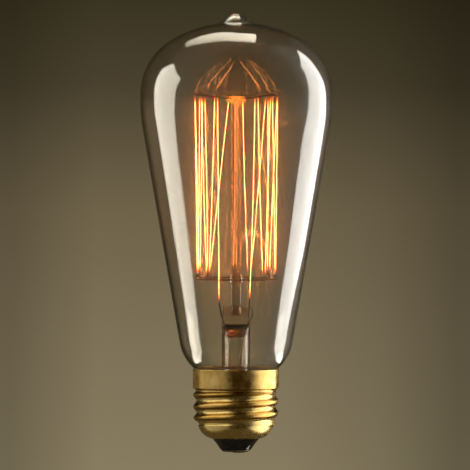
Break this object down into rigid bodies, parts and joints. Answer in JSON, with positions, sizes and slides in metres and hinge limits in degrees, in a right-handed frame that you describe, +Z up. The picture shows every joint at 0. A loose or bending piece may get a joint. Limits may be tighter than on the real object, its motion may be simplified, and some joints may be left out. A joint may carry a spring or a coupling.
{
  "type": "filament lamp",
  "caption": "Drop-shaped clear glass filament lamp with an exhaust tip, a glowing squirrel-cage filament on a glass stem, and a brass screw cap.",
  "frame": {"origin": "lowest point of the cap's axis, on the solder of the centre contact", "axes": "+Z up the lamp's axis from the contact to the exhaust tip, -Y towards the camera, +X to the picture's right"},
  "size_m": [0.0586, 0.0586, 0.1342],
  "materials": {
    "bulb_glass": "clear, faintly amber, gloss",
    "stem_glass": "clear, gloss",
    "support_wire": "drawn molybdenum wire, dull",
    "filament": "lit, glowing amber",
    "nickel_wire": "drawn nickel wire",
    "copper_clad_wire": "borated copper-clad wire, red-brown",
    "copper_wire": "drawn copper wire",
    "brass_shell": "bright rolled brass",
    "cement": "matt basing cement",
    "black_glass": "opaque black glass, gloss",
    "contact_metal": "dull, oxidised brass",
    "solder": "dull grey solder"
  },
  "bodies": {
    "root": {"glass_envelope": "bulb_glass", "stem_tube": "stem_glass", "arbor_rod": "stem_glass", "top_button": "stem_glass", "lower_bead": "stem_glass", "filament": "filament", "filament_clip_left": "nickel_wire", "filament_clip_right": "nickel_wire", "inner_lead_left": "nickel_wire", "inner_lead_right": "nickel_wire", "seal_wire_left": "copper_clad_wire", "seal_wire_right": "copper_clad_wire", "side_lead": "copper_wire", "centre_lead": "copper_wire", "screw_shell": "brass_shell", "basing_cement": "cement", "insulator": "black_glass", "centre_contact": "contact_metal", "contact_solder": "solder", "side_solder": "solder", "top_support_1": "support_wire", "top_support_2": "support_wire", "top_support_3": "support_wire", "top_support_4": "support_wire", "top_support_5": "support_wire", "top_support_6": "support_wire", "top_support_7": "support_wire", "top_support_8": "support_wire", "top_support_9": "support_wire", "top_support_10": "support_wire", "bottom_support_1": "support_wire", "bottom_support_2": "support_wire", "bottom_support_3": "support_wire", "bottom_support_4": "support_wire", "bottom_support_5": "support_wire", "bottom_support_6": "support_wire", "bottom_support_7": "support_wire", "bottom_support_8": "support_wire", "bottom_support_9": "support_wire"}
  },
  "joints": []
}
